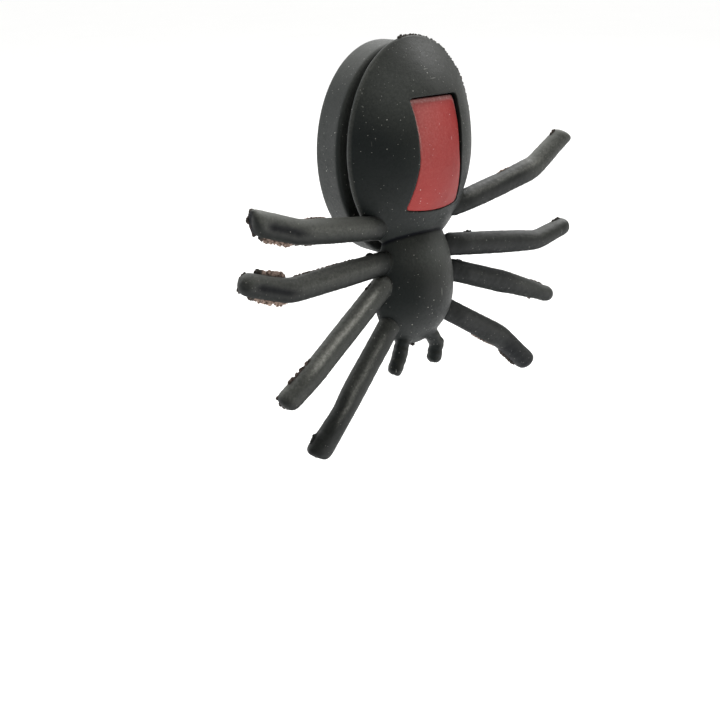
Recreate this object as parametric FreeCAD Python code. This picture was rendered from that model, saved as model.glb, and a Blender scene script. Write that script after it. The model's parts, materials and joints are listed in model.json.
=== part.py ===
import FreeCAD, Part
import math
import os

from FreeCAD import Matrix, Vector

# Spider-shaped vibration dampener for a tennis racket, in millimetres.
#
# A soft rubber spider clips onto the string bed. Its round neck sits between the two middle main
# strings, just below the last cross string. The strings run in the groove between the domed
# abdomen in front and the thick rear plate behind. A red hourglass inlay fills a pocket in the
# abdomen. Eight legs and two palps lie just in front of the strings.
#
# +Z is up on an upright racket, -Y is the front that the player sees, +X is the viewer's right.
# The origin is on the neck's axis, in the plane of the strings. "Left" is the viewer's left, -X.
#
# The black rubber is one moulding on the real object. It is cut here where it bends: each leg
# turns on a round-ended knuckle at its root, which sits in a socket with a little room.

# Strings and groove
STRING_D = 1.3
GROOVE = STRING_D + 0.2          # room between front moulding and rear plate
FRONT = -GROOVE / 2              # rear face of the front moulding
NECK_R = 4.5                     # fills the cell between two main strings

# Abdomen: an oval dome on a thin rim, whose crown sits a little below the middle
ABDOMEN_HALF_W = 9.6
ABDOMEN_UP = 12.9                # from the crown to the upper end
ABDOMEN_DOWN = 12.6
ABDOMEN_CROWN_Z = -0.4
ABDOMEN_RIM = 0.4
ABDOMEN_DOME = 5.55

# Head and thorax: an oval dome with a longer upper half that runs in under the abdomen
THORAX_HALF_W = 6.1
THORAX_UP = 10.3
THORAX_DOWN = 7.2
THORAX_CROWN_Z = -17.9
THORAX_RIM = 0.5
THORAX_DOME = 4.2

# Each dome's outline from crown to rim, as a share of its width and of its height
ABDOMEN_POLES = ((0.0, 1.0), (0.485, 1.0), (0.683, 0.6), (1.0, 0.0))
THORAX_POLES = ((0.0, 1.0), (0.5, 1.0), (0.76, 0.58), (1.0, 0.0))

# Rear plate
PLATE_T = 4.4
PLATE_HALF_W = 9.8
PLATE_HALF_H = 12.9
PLATE_Z = -1.1
PLATE_EDGE = 0.5                 # rounding of both edges

# Hourglass inlay
HOURGLASS_TOP = (3.65, 5.9)      # half width, height of the upper corners
HOURGLASS_WAIST = (3.2, -0.7)
HOURGLASS_FOOT = (4.1, -7.1)
HOURGLASS_BOW = (0.15, 0.35)     # how far the top and foot edges bow outward
HOURGLASS_ROUND = 0.4            # corner radius
POCKET_FLOOR_Y = -3.3
INLAY_GAP = 0.18                 # around the inlay
INLAY_SINK = 0.12                # how far its top lies under the dome

# Legs: flat rods with round sides, which touch the string plane with their backs
LEG_W = 2.9
LEG_T = 2.4
LEG_Y = FRONT - LEG_T / 2
LEG_BEND_R = 5.0
LEG_FLEX_DEG = (-10, 45)         # backward between the strings, and forward
SOCKET_ROOM = 0.12
SOCKET_REACH = 4.5               # how far out of the root the moving leg is given room
SOCKET_STEPS = 7

# name: root (x, z), upper run (length, heading), lower run (length, heading)
# Headings are in degrees, anticlockwise from +X as seen from the front. A run's end is the
# centre of the leg's rounded tip.
LEGS = {
    "leg_rear_left": ((-6.3, -9.05), (11.2, 172.5), (5.3, 160.0)),
    "leg_rear_right": ((6.2, -8.5), (14.0, 12.5), (5.4, 33.5)),
    "leg_mid_rear_left": ((-5.6, -13.5), (13.6, 182.5), (5.5, 161.0)),
    "leg_mid_rear_right": ((5.4, -13.1), (15.6, -8.3), (4.4, 12.0)),
    "leg_mid_front_left": ((-5.8, -16.4), (14.0, 218.5), (3.5, 213.5)),
    "leg_mid_front_right": ((5.7, -16.5), (11.3, -20.5), (6.8, -22.8)),
    "leg_front_left": ((-4.95, -21.8), (11.2, 230.5), (5.4, 228.5)),
    "leg_front_right": ((5.0, -21.6), (11.0, -32.0), (6.1, -43.5)),
}

# Palps: root, middle and tip (x, z)
PALP_R = 0.95
PALP_Y = FRONT - PALP_R
PALP_BEND_R = 1.5
PALPS = {
    "palp_left": ((-2.2, -23.6), (-3.0, -26.0), (-3.7, -27.6)),
    "palp_right": ((1.9, -23.6), (3.15, -25.7), (2.8, -27.5)),
}

BACKWARD = Vector(0, 1, 0)
FORWARD = Vector(0, -1, 0)


def line(start, end):
    return Part.LineSegment(start, end).toShape()


def half_turned(profile, half_w, reach, z_mid, up):
    """A profile turned half round the Y axis, above or below z_mid, and stretched along Z."""
    # The half turn runs from +X over +Z to -X, or the other way round.
    sweep = -180 if up else 180
    half = profile.revolve(Vector(0, 0, 0), BACKWARD, sweep)
    stretch = Matrix()
    stretch.scale(1, 1, reach / half_w)
    half = half.transformGeometry(stretch)
    half.translate(Vector(0, 0, z_mid))
    return half


def turned_oval(profile, half_w, up, down, z_mid):
    """An egg-shaped solid: a profile in the XY plane, turned and stretched along Z."""
    return half_turned(profile, half_w, up, z_mid, True).fuse(
        half_turned(profile, half_w, down, z_mid, False))


def dome(half_w, up, down, z_mid, rim, height, poles):
    """An oval dome that stands forward from the front moulding's flat rear face."""
    curve = Part.BezierCurve()
    curve.setPoles([Vector(share * half_w, FRONT - rim - rise * height, 0) for share, rise in poles])
    crown, edge = Vector(0, FRONT - rim - height, 0), Vector(half_w, FRONT - rim, 0)
    foot, middle = Vector(half_w, 0, 0), Vector(0, 0, 0)
    wire = Part.Wire([curve.toShape(), line(edge, foot), line(foot, middle), line(middle, crown)])
    solid = turned_oval(Part.Face(wire), half_w, up, down, z_mid)
    behind = Part.makeBox(4 * half_w, -FRONT, 4 * up, Vector(-2 * half_w, FRONT, z_mid - 2 * up))
    return solid.cut(behind)


def abdomen_dome(sink=0.0):
    """The abdomen without its pocket and sockets. sink lowers the top."""
    return dome(ABDOMEN_HALF_W, ABDOMEN_UP, ABDOMEN_DOWN, ABDOMEN_CROWN_Z,
                ABDOMEN_RIM, ABDOMEN_DOME - sink, ABDOMEN_POLES)


def thorax_dome():
    return dome(THORAX_HALF_W, THORAX_UP, THORAX_DOWN, THORAX_CROWN_Z,
                THORAX_RIM, THORAX_DOME, THORAX_POLES)


def hourglass_prism(inset):
    """The hourglass outline, drawn in by inset, as a prism forward of the pocket's floor."""
    def point(x, z):
        return Vector(x, POCKET_FLOOR_Y, z)

    (top_w, top_z), (waist_w, waist_z), (foot_w, foot_z) = (
        HOURGLASS_TOP, HOURGLASS_WAIST, HOURGLASS_FOOT)
    top_bow, foot_bow = HOURGLASS_BOW
    top_w, waist_w, foot_w = top_w - inset, waist_w - inset, foot_w - inset
    top_z, foot_z = top_z - inset, foot_z + inset
    edges = [
        Part.Arc(point(-top_w, top_z), point(0, top_z + top_bow), point(top_w, top_z)),
        Part.Arc(point(top_w, top_z), point(waist_w, waist_z), point(foot_w, foot_z)),
        Part.Arc(point(foot_w, foot_z), point(0, foot_z - foot_bow), point(-foot_w, foot_z)),
        Part.Arc(point(-foot_w, foot_z), point(-waist_w, waist_z), point(-top_w, top_z)),
    ]
    wire = Part.Wire([edge.toShape() for edge in edges])
    prism = Part.Face(wire).extrude(FORWARD * (2 * ABDOMEN_DOME))
    uprights = [e for e in prism.Edges if abs(e.tangentAt(e.FirstParameter).y) > 0.99]
    return prism.makeFillet(HOURGLASS_ROUND - inset, uprights)


def heading(degrees):
    a = math.radians(degrees)
    return Vector(math.cos(a), 0, math.sin(a))


def bent_path(points, bend_radius):
    """A line through three points, with a rounded bend at the middle one."""
    root, knee, tip = points
    into = (knee - root).normalize()
    out = (tip - knee).normalize()
    half_turn = into.getAngle(out) / 2
    shortest = min((knee - root).Length, (tip - knee).Length)
    setback = min(bend_radius * math.tan(half_turn), 0.45 * shortest)
    start, end = knee - into * setback, knee + out * setback
    arc_r = setback / math.tan(half_turn)
    inward = (out - into).normalize()
    middle = knee + inward * (arc_r / math.cos(half_turn) - arc_r)
    return Part.Wire([line(root, start), Part.Arc(start, middle, end).toShape(), line(end, tip)])


def round_rod(points, radius, bend_radius):
    """A round rod along a bent path, with ball ends."""
    root, knee, tip = points
    circle = Part.Wire([Part.makeCircle(radius, root, knee - root)])
    tube = bent_path(points, bend_radius).makePipeShell([circle], True, True)
    return tube.fuse([Part.makeSphere(radius, p) for p in (root, tip)]).removeSplitter()


def flat_section(centre, across, width, thickness):
    """The outline of a flat rod with round sides. across is in the string plane."""
    side = thickness / 2
    reach = (width - thickness) / 2
    front, back = FORWARD * side, BACKWARD * side
    right, left = centre + across * reach, centre - across * reach
    return Part.Wire([
        line(left + front, right + front),
        Part.Arc(right + front, right + across * side, right + back).toShape(),
        line(right + back, left + back),
        Part.Arc(left + back, left - across * side, left + front).toShape(),
    ])


def leg_points(name):
    (x, z), (upper, upper_way), (lower, lower_way) = LEGS[name]
    root = Vector(x, LEG_Y, z)
    knee = root + heading(upper_way) * upper
    return root, knee, knee + heading(lower_way) * lower


def hinge(name):
    """Where a leg turns: its root, and an axis about which positive turns bring it forward."""
    root, knee, _ = leg_points(name)
    along = (knee - root).normalize()
    return root, along.cross(FORWARD)


def knuckle(centre, axis, width, thickness):
    """The round-ended barrel on which a leg turns."""
    radius = thickness / 2
    reach = axis * ((width - thickness) / 2)
    barrel = Part.makeCylinder(radius, 2 * reach.Length, centre - reach, axis)
    return barrel.fuse([Part.makeSphere(radius, centre + reach),
                        Part.makeSphere(radius, centre - reach)])


def leg_tip(tip, along):
    """The rounded end of a leg: half a flat disc with a round edge."""
    side = LEG_T / 2
    reach = (LEG_W - LEG_T) / 2
    front, back = tip + FORWARD * side, tip + BACKWARD * side
    profile = Part.Wire([
        line(front, front + along * reach),
        Part.Arc(front + along * reach, tip + along * (LEG_W / 2), back + along * reach).toShape(),
        line(back + along * reach, back),
        line(back, front),
    ])
    disc = Part.Face(profile)
    disc.rotate(tip, BACKWARD, -90)
    return disc.revolve(tip, BACKWARD, 180)


def leg(name):
    points = leg_points(name)
    root, knee, tip = points
    _, axis = hinge(name)
    section = flat_section(root, axis, LEG_W, LEG_T)
    body = bent_path(points, LEG_BEND_R).makePipeShell([section], True, True)
    end = leg_tip(tip, (tip - knee).normalize())
    return body.fuse([knuckle(root, axis, LEG_W, LEG_T), end]).removeSplitter()


def leg_sweep(name):
    """The room that a leg's root needs from one end of its travel to the other."""
    root, knee, _ = leg_points(name)
    _, axis = hinge(name)
    along = (knee - root).normalize()
    width, thickness = LEG_W + 2 * SOCKET_ROOM, LEG_T + 2 * SOCKET_ROOM
    stub = Part.Face(flat_section(root, axis, width, thickness)).extrude(along * SOCKET_REACH)
    low, high = LEG_FLEX_DEG
    stubs = []
    for step in range(SOCKET_STEPS):
        turned = stub.copy()
        turned.rotate(root, axis, low + (high - low) * step / (SOCKET_STEPS - 1))
        stubs.append(turned)
    return knuckle(root, axis, width, thickness).fuse(stubs)


def palp(name, head):
    """A palp, cut off where the head begins."""
    points = [Vector(x, PALP_Y, z) for x, z in PALPS[name]]
    return round_rod(points, PALP_R, PALP_BEND_R).cut(head)


def string_neck():
    return Part.makeCylinder(NECK_R, GROOVE, Vector(0, FRONT, 0), BACKWARD)


def rear_plate():
    """A thick oval plate with both edges rounded."""
    near = Vector(0, GROOVE / 2, PLATE_Z)
    outline = Part.Ellipse(near + Vector(0, 0, PLATE_HALF_H), near + Vector(PLATE_HALF_W, 0, 0), near)
    face = Part.Face(Part.Wire([outline.toShape()]))
    plate = face.extrude(BACKWARD * PLATE_T)
    rims = [e for e in plate.Edges if len(e.Vertexes) == 1]
    return plate.makeFillet(PLATE_EDGE, rims)


def single(shape, name):
    """The one valid solid that a sub-part has to be."""
    solids = shape.Solids
    if len(solids) != 1 or not shape.isValid():
        raise RuntimeError(f"{name}: {len(solids)} solids, valid {shape.isValid()}")
    return solids[0]


def build():
    whole_abdomen = abdomen_dome()
    sweeps = [leg_sweep(name) for name in LEGS]
    thorax = thorax_dome().cut(whole_abdomen)
    parts = {
        "abdomen": whole_abdomen.cut([hourglass_prism(0), *sweeps]),
        "cephalothorax": thorax.cut(sweeps),
        "hourglass_inlay": abdomen_dome(INLAY_SINK).common(hourglass_prism(INLAY_GAP)),
        "string_neck": string_neck(),
        "rear_plate": rear_plate(),
    }
    parts.update({name: palp(name, thorax) for name in PALPS})
    parts.update({name: leg(name) for name in LEGS})
    return {name: single(shape, name) for name, shape in parts.items()}


def main():
    os.makedirs("parts", exist_ok=True)
    for name, solid in build().items():
        solid.exportStep(f"parts/{name}.step")
        print(f"{name}: {solid.Volume:.1f} mm3")
    for name in LEGS:
        root, axis = hinge(name)
        print(f"{name} hinge at {[round(c, 2) for c in root]}, axis {[round(c, 4) for c in axis]}")


main()
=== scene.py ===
import json
import math

import bpy
import numpy as np
from mathutils import Matrix, Vector


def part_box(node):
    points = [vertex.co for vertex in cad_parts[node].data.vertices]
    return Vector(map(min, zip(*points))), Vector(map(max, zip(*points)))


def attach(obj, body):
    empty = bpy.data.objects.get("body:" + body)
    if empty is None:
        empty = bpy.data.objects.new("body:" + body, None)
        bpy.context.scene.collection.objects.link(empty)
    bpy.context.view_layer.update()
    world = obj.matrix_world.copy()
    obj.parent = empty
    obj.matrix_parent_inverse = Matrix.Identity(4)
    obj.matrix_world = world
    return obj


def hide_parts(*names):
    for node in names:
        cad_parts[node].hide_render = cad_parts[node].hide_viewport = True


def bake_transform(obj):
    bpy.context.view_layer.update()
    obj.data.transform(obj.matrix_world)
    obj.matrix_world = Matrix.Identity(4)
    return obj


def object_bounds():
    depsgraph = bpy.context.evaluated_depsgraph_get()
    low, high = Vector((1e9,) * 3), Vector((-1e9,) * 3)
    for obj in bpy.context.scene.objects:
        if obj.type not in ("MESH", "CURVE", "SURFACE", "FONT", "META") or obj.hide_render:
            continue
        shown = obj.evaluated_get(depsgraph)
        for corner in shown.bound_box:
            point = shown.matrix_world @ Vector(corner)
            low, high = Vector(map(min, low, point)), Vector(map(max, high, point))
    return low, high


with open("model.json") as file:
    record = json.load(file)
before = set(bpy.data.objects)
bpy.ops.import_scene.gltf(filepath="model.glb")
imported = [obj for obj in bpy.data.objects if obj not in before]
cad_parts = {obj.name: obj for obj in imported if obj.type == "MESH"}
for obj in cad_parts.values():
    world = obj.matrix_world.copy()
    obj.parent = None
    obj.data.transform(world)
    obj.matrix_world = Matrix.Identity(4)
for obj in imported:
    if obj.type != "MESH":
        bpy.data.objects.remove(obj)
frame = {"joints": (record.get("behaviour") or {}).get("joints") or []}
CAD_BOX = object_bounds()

# A spider-shaped vibration dampener for tennis strings: one soft black moulding with a red
# hourglass inlay. Shapes are worked out in millimetres, and meshes are made in metres.
# -Y is the front, +Z is up, and "left" is the viewer's left, -X.

MM = 0.001
BODY = "spider_body"


def cad_box(node):
    """Lowest and highest corner of a CAD node, in millimetres."""
    low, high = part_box(node)
    return np.array(low) / MM, np.array(high) / MM


# ---------------------------------------------------------------- sizes, from the frame

ABDOMEN_LOW, ABDOMEN_HIGH = cad_box("abdomen")
THORAX_LOW, THORAX_HIGH = cad_box("cephalothorax")
PLATE_LOW, PLATE_HIGH = cad_box("rear_plate")
NECK_LOW, NECK_HIGH = cad_box("string_neck")
INLAY_LOW, INLAY_HIGH = cad_box("hourglass_inlay")
FRONT = ABDOMEN_HIGH[1]                  # flat rear face of the front moulding
HINGES = {j["child"]: j for j in frame["joints"]}

ABDOMEN_CROWN_Z = -0.4
ABDOMEN_UP = ABDOMEN_HIGH[2] - ABDOMEN_CROWN_Z
ABDOMEN_DOWN = ABDOMEN_CROWN_Z - ABDOMEN_LOW[2]
ABDOMEN_RIM = 0.4
ABDOMEN_DOME = 5.55
ABDOMEN_FALL = (2.4, 1.12)               # how a dome falls away: the powers in rise()
THORAX_CROWN_Z = -17.9
THORAX_UP = 10.3                         # the upper end is hidden under the abdomen
THORAX_RIM = 0.5
THORAX_FALL = (2.3, 0.93)

POCKET_FLOOR = INLAY_HIGH[1]
POCKET_GAP = 0.14                        # mean gap between the pocket and the inlay
POCKET_SHIFT = (0.09, 0.10)              # the inlay sits down and to the left in its pocket
POCKET_CORNER = 0.45
POCKET_FOOT = 0.2                        # roundings at the pocket's floor and at its lip
POCKET_LIP = 0.1
INLAY_CORNER = 0.4
INLAY_EDGE = 0.14                        # rounding round the inlay's face
INLAY_POINTS = 220
INLAY_TOP_W = 3.42                       # half widths of the inlay
WAIST_W = 3.06
WAIST_Z = -0.7
WAIST_R = 1.5                            # how round the waist is
INLAY_BOW = (0.15, 0.35)                 # how far its top and foot bow outward
INLAY_SINK = 0.05                        # under the dome's skin, at its lower part
SINK_FROM_Z = -2.0                       # above this it sinks in further
SINK_SLOPE = 0.065
EDGE_DROP = 0.02                         # how much lower the face's outline lies

LEG_HALF_W = 1.45
LEG_HALF_T = 1.2
STUB_OUT = 1.5                           # how far the body's collar reaches along a leg
COLLAR_SHARE = 0.93                      # its thickness over the leg's
COLLAR_END = 0.3                         # rounding of its end
KNEE_SOFTNESS = 1.1                      # half length of the rounded knee
LEG_STEP = 0.14                          # between the rings of a leg's skin
LEG_POINTS = 44                          # in one ring
HOLLOW_DEPTH = 0.16
STREAK_W = 0.19                          # of the painted highlight line along a leg's crest, over the leg's half width

PLATE_EDGE = 0.5                         # roundings of the body's edges
ABDOMEN_EDGE = 0.12
THORAX_EDGE = 0.2
WAIST_FILLET = 0.12                      # fillets where the body's regions meet
ROOT_FILLET = 0.3
NECK_INSET = 0.3                         # how far inside the CAD's neck its middle lies
NECK_FLARE = 0.35                        # and how much further out its ends lie
BODY_WAVE = 0.012                        # unevenness of the rubber
LEG_WAVE = 0.014
BODY_PITCH = (0.3, 0.15)                 # of the body's lattice: when quick, and in full
CRUMB_PITCH = 0.09                       # of the lattice that torn flash is meshed on
LATTICE_PARTS = 24                       # a field is worked out in parts, to save memory

# name: upper run (length, heading), lower run (length, heading), in mm and in degrees
# anticlockwise from +X as seen from the front
LEGS = {
    "leg_rear_left": ((11.2, 172.5), (5.3, 160.0)),
    "leg_rear_right": ((14.0, 12.5), (5.4, 33.5)),
    "leg_mid_rear_left": ((13.6, 182.5), (5.5, 161.0)),
    "leg_mid_rear_right": ((15.6, -8.3), (4.4, 12.0)),
    "leg_mid_front_left": ((14.0, 218.5), (3.5, 213.5)),
    "leg_mid_front_right": ((11.3, -20.5), (6.8, -22.8)),
    "leg_front_left": ((11.2, 231.2), (5.4, 229.4)),
    "leg_front_right": ((11.0, -32.0), (6.1, -43.5)),
}

# How wide a leg is along its run: (distance from the root, share of the usual width)
WIDTHS = {
    "leg_rear_left": ((0, 1.0), (8, 1.05), (13, 1.0), (17, 1.0)),
    "leg_mid_rear_left": ((0, 1.0), (12, 1.04), (15, 0.98), (19, 0.92)),
    "leg_mid_front_left": ((0, 1.0), (10, 1.04), (17, 1.02)),
    "leg_front_left": ((0, 1.0), (11, 1.03), (16, 1.04)),
    "leg_rear_right": ((0, 1.0), (13, 1.02), (18, 0.88)),
    "leg_mid_rear_right": ((0, 1.03), (12, 0.98), (16, 0.88), (20, 0.8)),
    "leg_mid_front_right": ((0, 0.96), (9, 1.02), (13, 0.88), (17, 0.74)),
    "leg_front_right": ((0, 0.94), (9, 1.03), (12, 0.96), (17, 0.98)),
}

# How far a leg's edges stand out over their usual place:
# (distance from the root, at the upper edge, at the lower edge)
EDGES = {
    "leg_front_left": ((3.0, 0, 0), (6.0, 0.1, 0), (9.4, 0.08, 0), (11.8, -0.18, 0),
                       (13.4, -0.06, 0), (15.0, 0.06, 0), (15.9, 0.3, 0), (17.0, 0.36, 0)),
    "leg_rear_right": ((-1.0, 0.24, -0.46), (3.0, 0.14, -0.22), (8.0, 0, 0)),
}

# Painted shade on a leg over its tone, on its upper and on its lower run
SHADES = {"leg_mid_rear_right": (0.16, 0.0), "leg_mid_front_right": (0.22, 0.05),
          "leg_front_right": (0.12, 0.55)}

# A leg's end: how square it is, how much further its upper side reaches, and how dark its crust is
TIPS = {
    "leg_rear_left": (3.0, 0.40, 0.8),
    "leg_mid_rear_left": (2.2, 0.0, 0.2),
    "leg_mid_front_left": (2.5, 0.15, 0.5),
    "leg_front_left": (3.4, 0.17, 0.9),
    "leg_rear_right": (5.0, -0.40, 0.15),
    "leg_mid_rear_right": (3.0, 0.0, 0.15),
    "leg_mid_front_right": (2.2, 0.0, 0.1),
    "leg_front_right": (2.6, 0.2, 0.3),
}

# Painted light on a leg, on its upper and on its lower run, and how light the painted highlight line along
# its crest is and where it lies (1 is the leg's upper side)
TONES = {
    "leg_rear_left": (1.4, 1.25, 0.08, 0.2),
    "leg_mid_rear_left": (1.0, 0.85, 0.10, 0.2),
    "leg_mid_front_left": (1.1, 1.0, 1.0, 0.63),
    "leg_front_left": (0.52, 0.14, 0.36, 0.5),
    "leg_rear_right": (0.15, 1.3, 0.25, 0.6),
    "leg_mid_rear_right": (0.20, 0.42, 0.10, 0.6),
    "leg_mid_front_right": (0.10, 0.50, 0.03, 0.3),
    "leg_front_right": (0.12, 0.02, 0.03, 0.3),
}

# Legs whose painted light fades at the root, and that have a hollow with painted shade along their lower run
FADED_HOLLOW_LEGS = ("leg_rear_left", "leg_mid_rear_left")

# How much thinner a leg's front is where it dives under the dome, and over which stretch it thins
SUNK_ROOTS = {"leg_rear_left": 0.3, "leg_mid_rear_left": 0.3, "leg_rear_right": 0.4,
              "leg_mid_rear_right": 0.45, "leg_mid_front_right": 0.45, "leg_front_right": 0.4}
SUNK_STRETCH = (-1.0, 2.6)

# Torn moulding flash on a leg: side (1 is the upper one), start and end along the leg, how far
# it stands out, and how tan it is
FLASH = {
    "leg_rear_left": [(-1, 11.8, 15.9, 0.6, 0.95), (-1, 15.5, 16.3, 0.62, 0.15), (-1, 8.8, 12.2, 0.2, 0.3),
                      (1, 7.6, 10.6, 0.12, 0.9), (-1, 4.2, 7.6, 0.1, 0.3)],
    "leg_mid_rear_left": [(1, 14.5, 18.2, 0.72, 0.9), (1, 17.8, 18.7, 0.95, 0.1), (-1, 13.6, 18.0, 0.6, 1.0),
                          (-1, 17.9, 18.8, 0.65, 0.15), (1, 4.0, 12.8, 0.1, 0.5), (1, 1.2, 2.2, 0.3, 0.0)],
    "leg_mid_front_left": [(1, 12.7, 13.6, 0.42, 0.3), (1, 13.8, 14.7, 0.46, 0.25), (1, 14.8, 15.6, 0.4, 0.3),
                           (1, 15.7, 16.7, 0.55, 0.25), (1, 0.8, 1.9, 0.22, 0.1)],
    "leg_front_left": [(1, 15.5, 17.3, 0.62, 0.0)],
    "leg_rear_right": [(1, 18.9, 19.9, 0.38, 0.25), (-1, 15.5, 18.5, 0.12, 0.9), (1, 8.0, 10.0, 0.1, 0.8)],
    "leg_mid_rear_right": [(1, 19.2, 20.6, 0.34, 0.1), (1, 2.4, 3.6, 0.26, 0.0), (-1, 9.0, 10.4, 0.12, 0.4)],
    "leg_mid_front_right": [(1, 14.6, 17.6, 0.2, 0.3), (-1, 15.6, 16.2, 0.4, 0.4), (1, 0.6, 1.5, 0.2, 0.0)],
    "leg_front_right": [(-1, 12.4, 16.6, 0.3, 0.15), (-1, 6.0, 11.0, 0.16, 0.6), (1, 14.0, 16.6, 0.1, 0.1)],
}

# Crumbs round a leg's end: how many, and how far they stand out
END_CRUMBS = {"leg_rear_left": (10, 0.40), "leg_mid_rear_left": (7, 0.3), "leg_mid_front_left": (7, 0.34),
              "leg_front_left": (6, 0.34), "leg_rear_right": (4, 0.18), "leg_mid_rear_right": (3, 0.26),
              "leg_mid_front_right": (1, 0.12), "leg_front_right": (2, 0.2)}

PARTING = 0.30                           # how far behind a leg's middle its parting line lies
FLASH_ROOT = 0.08                        # how deep flash starts inside a leg's side

# Flash round the abdomen's rim: direction from +X and reach, half its spread, and how tan it is
# (angles in degrees)
RIM_FLASH = ((99, 0.24, 1.0, 0.1), (94, 0.20, 1.6, 0.1), (88, 0.14, 3.0, 0.1), (80, 0.12, 6.0, 0.1),
             (69, 0.14, 3.0, 0.1), (60, 0.17, 4.0, 0.15), (50, 0.13, 6.0, 0.1), (38, 0.2, 4.0, 0.15),
             (28, 0.16, 5.0, 0.1), (14, 0.1, 7.0, 0.1), (-4, 0.08, 6.0, 0.1), (330, 0.12, 5.0, 0.9))
THORAX_NIB = (-0.3, 0.32)                # on the thorax's lower edge: where across, and its size

# Patches of painted light on the body's front: middle (x, z), half widths (x, z), and share
PALE_PATCHES = (((-4.5, 6.8), (3.5, 3.6), 0.55), ((0.5, -12.6), (4.0, 1.9), 0.6))

PALP_R = 0.95
PALP_CUT = 0.75                          # from the middle of its tip to its flat end
PALP_BEND = 0.2                          # roundings in its bend and round its flat end
PALP_END = 0.25
# Where a palp starts, bends and ends: (x, z)
PALPS = {
    "palp_left": ((-2.2, -23.6), (-3.0, -26.0), (-3.7, -27.6)),
    "palp_right": ((1.9, -23.6), (3.15, -25.7), (2.8, -27.5)),
}


# ---------------------------------------------------------------- solid shapes as fields
# A field is negative inside, and near its surface it is the distance in millimetres.

def round_max(a, b, radius):
    """Where both are inside, with the edge rounded."""
    return (np.minimum(np.maximum(a, b), -radius)
            + np.hypot(np.maximum(a + radius, 0), np.maximum(b + radius, 0)))


def round_min(a, b, radius):
    """Where either is inside, with a fillet of that radius in the corner."""
    return -round_max(-a, -b, radius)


def smooth(value, low, high):
    """0 below low, 1 above high, and a smooth step between them."""
    share = np.clip((value - low) / (high - low), 0, 1)
    return share * share * (3 - 2 * share)


def ripple(p, wavelength, seed):
    """A smooth, irregular value between about -1 and 1."""
    random = np.random.RandomState(seed)
    total = np.zeros(len(p))
    for _ in range(6):
        way = random.normal(size=3)
        way *= random.uniform(0.6, 1.5) * 2 * math.pi / (wavelength * np.linalg.norm(way))
        total += np.sin(p @ way + random.uniform(0, 2 * math.pi))
    return total / 3


def oval(p, half_w, up, down, z_mid):
    """How far out a point is, from 0 at the middle to 1 at the outline, its distance to the
    outline in millimetres, and how fast the first grows with the second."""
    x, z = p[:, 0], p[:, 2] - z_mid
    half_h = np.where(z > 0, up, down)
    out = np.maximum(np.hypot(x / half_w, z / half_h), 1e-6)
    slope = np.maximum(np.hypot(x / half_w ** 2, z / half_h ** 2) / out, 1e-6)
    return out, (out - 1) / slope, slope


def rise(out, fall):
    """A dome's height over its rim, from 1 at the crown to 0 at the rim."""
    inner, outer = fall
    return np.maximum(1 - np.minimum(out, 1) ** inner, 0) ** outer


def dome(p, half_w, up, down, z_mid, rim, height, edge, fall):
    """A dome on a low rim, over an oval with its flat side to the rear."""
    out, side, slope = oval(p, half_w, up, down, z_mid)
    step = 0.002
    inner = np.clip(out, step, 0.97)
    steep = height * slope * (rise(inner - step, fall) - rise(inner + step, fall)) / (2 * step)
    forward = FRONT - p[:, 1]
    top = (forward - rim - height * rise(out, fall)) / np.hypot(1, steep)
    return round_max(round_max(top, side, edge), -forward, edge)


def abdomen_top(x, z):
    """How far the abdomen's face stands forward of its rear face."""
    p = np.stack([x, np.zeros_like(x), z], 1)
    out, _, _ = oval(p, ABDOMEN_HIGH[0], ABDOMEN_UP, ABDOMEN_DOWN, ABDOMEN_CROWN_Z)
    return ABDOMEN_RIM + ABDOMEN_DOME * rise(out, ABDOMEN_FALL)


def waisted(z, extra):
    """Half width of the hourglass at a height, and how fast it changes."""
    top, foot = INLAY_HIGH[2] - INLAY_BOW[0], INLAY_LOW[2] + INLAY_BOW[1]

    def spread(end_w, end_z):
        return (end_w - WAIST_W) / (math.hypot(end_z - WAIST_Z, WAIST_R) - WAIST_R)

    widening = np.where(z > WAIST_Z, spread(INLAY_TOP_W, top), spread(INLAY_HIGH[0], foot))
    away = np.hypot(z - WAIST_Z, WAIST_R)
    return WAIST_W + widening * (away - WAIST_R) + extra, widening * (z - WAIST_Z) / away


def hourglass(p, extra, corner):
    """Distance to the inlay's outline, grown by extra, in the XZ plane."""
    x, z = np.abs(p[:, 0]), p[:, 2]
    half_w, lean = waisted(z, extra)
    side = (x - half_w) / np.hypot(1, lean)
    share = np.minimum(x / INLAY_HIGH[0], 1) ** 2
    top = z - (INLAY_HIGH[2] - INLAY_BOW[0] * share + extra)
    foot = (INLAY_LOW[2] + INLAY_BOW[1] * share - extra) - z
    return round_max(side, np.maximum(top, foot), corner)


def leg_frame(name):
    """Root, direction of the upper run, and upper side of a leg."""
    root = np.array(HINGES[name]["pos_m"]) / MM
    a = math.radians(LEGS[name][0][1])
    along = np.array([math.cos(a), 0, math.sin(a)])
    above = np.array([-along[2], 0, along[0]])
    return root, along, above if above[2] > 0 else -above


def leg_edges(name):
    """Distances along a leg, and how far its upper and its lower edge stand out there."""
    return np.array(EDGES.get(name, ((0, 0, 0),))).T


def front_share(name, t):
    """How thick a leg's front is at a distance from its root, over its usual thickness."""
    return 1 - SUNK_ROOTS.get(name, 0) * (1 - smooth(t, *SUNK_STRETCH))


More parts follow.
